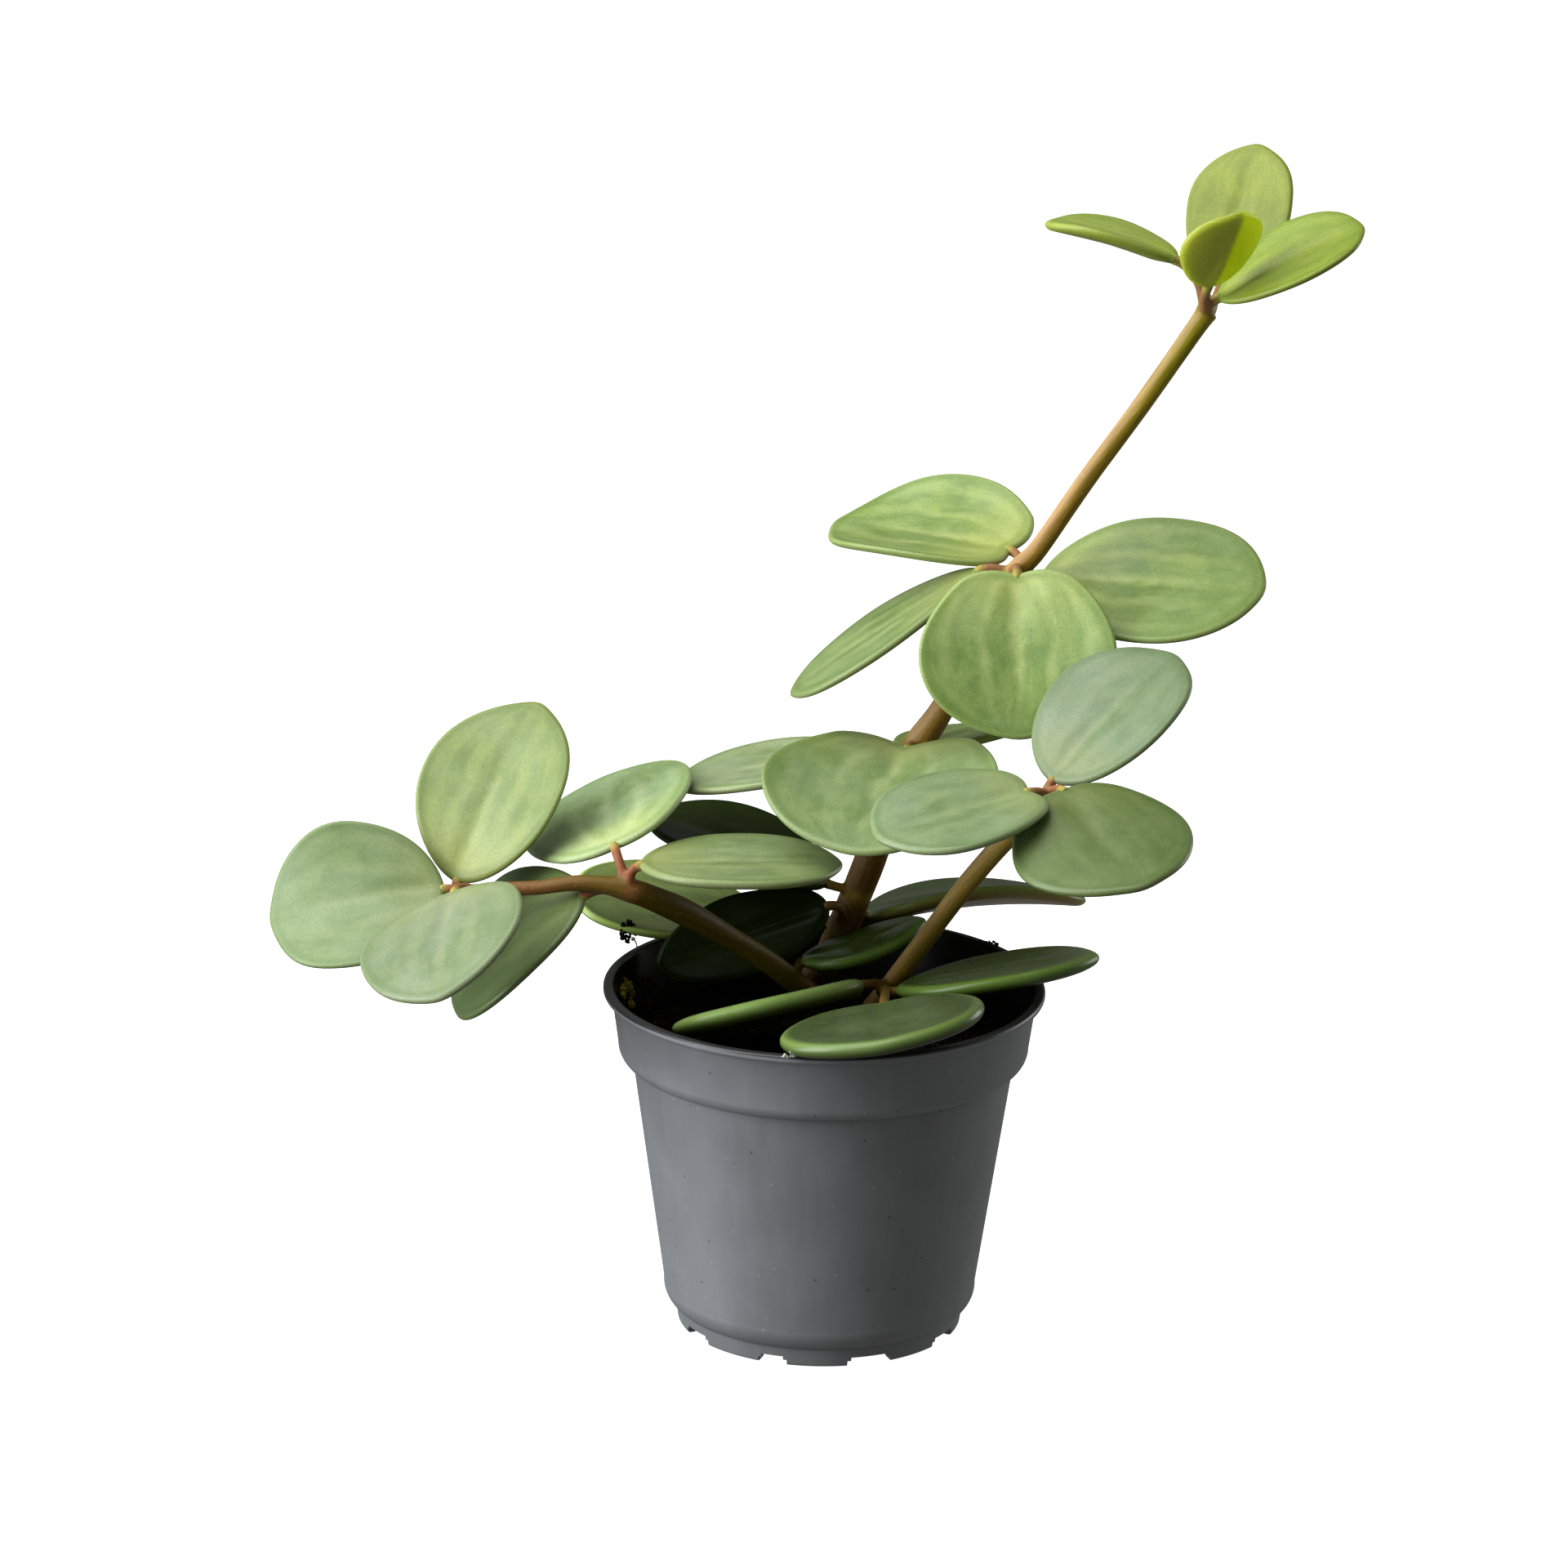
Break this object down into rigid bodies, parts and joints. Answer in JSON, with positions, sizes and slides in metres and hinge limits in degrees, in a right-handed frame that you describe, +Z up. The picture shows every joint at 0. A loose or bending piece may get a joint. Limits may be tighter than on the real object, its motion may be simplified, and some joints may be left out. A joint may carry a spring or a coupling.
{
  "type": "potted peperomia",
  "caption": "Young peperomia with round fleshy leaves in whorls on bending stems, rooted in soil in a small tapered plastic nursery pot with a collar and lip.",
  "frame": {"origin": "middle of the whole plant's spread, on the surface that the pot stands on", "axes": "+Z up; -Y towards the side that the picture shows; +X towards the side that the tall stem leans to"},
  "size_m": [0.145, 0.0841, 0.158],
  "materials": {
    "grey_plastic": "satin",
    "peat": "matte",
    "tan_stem": "satin",
    "brown_stem": "satin",
    "bright_leaf": "satin",
    "fresh_leaf": "satin",
    "bluish_leaf": "satin",
    "dark_leaf": "satin"
  },
  "bodies": {
    "root": {"pot": "grey_plastic", "soil": "peat", "tall_stem": "tan_stem", "right_stem": "brown_stem", "left_stem": "brown_stem", "crown_left_leaf": "bright_leaf", "crown_back_leaf": "bright_leaf", "crown_right_leaf": "bright_leaf", "crown_front_leaf": "bright_leaf", "upper_back_leaf": "fresh_leaf", "upper_left_leaf": "fresh_leaf", "upper_front_leaf": "fresh_leaf", "upper_right_leaf": "fresh_leaf", "middle_front_leaf": "fresh_leaf", "middle_left_leaf": "fresh_leaf", "middle_back_leaf": "fresh_leaf", "near_back_leaf": "fresh_leaf", "near_right_leaf": "fresh_leaf", "far_back_leaf": "fresh_leaf", "right_back_leaf": "bluish_leaf", "right_left_leaf": "bluish_leaf", "right_front_leaf": "bluish_leaf", "near_left_leaf": "bluish_leaf", "far_left_leaf": "bluish_leaf", "far_front_leaf": "bluish_leaf", "low_top_leaf": "dark_leaf", "low_back_leaf": "dark_leaf", "low_middle_leaf": "dark_leaf", "low_right_leaf": "dark_leaf", "low_left_leaf": "dark_leaf", "rim_right_leaf": "dark_leaf", "rim_front_leaf": "dark_leaf", "rim_left_leaf": "dark_leaf"}
  },
  "joints": []
}
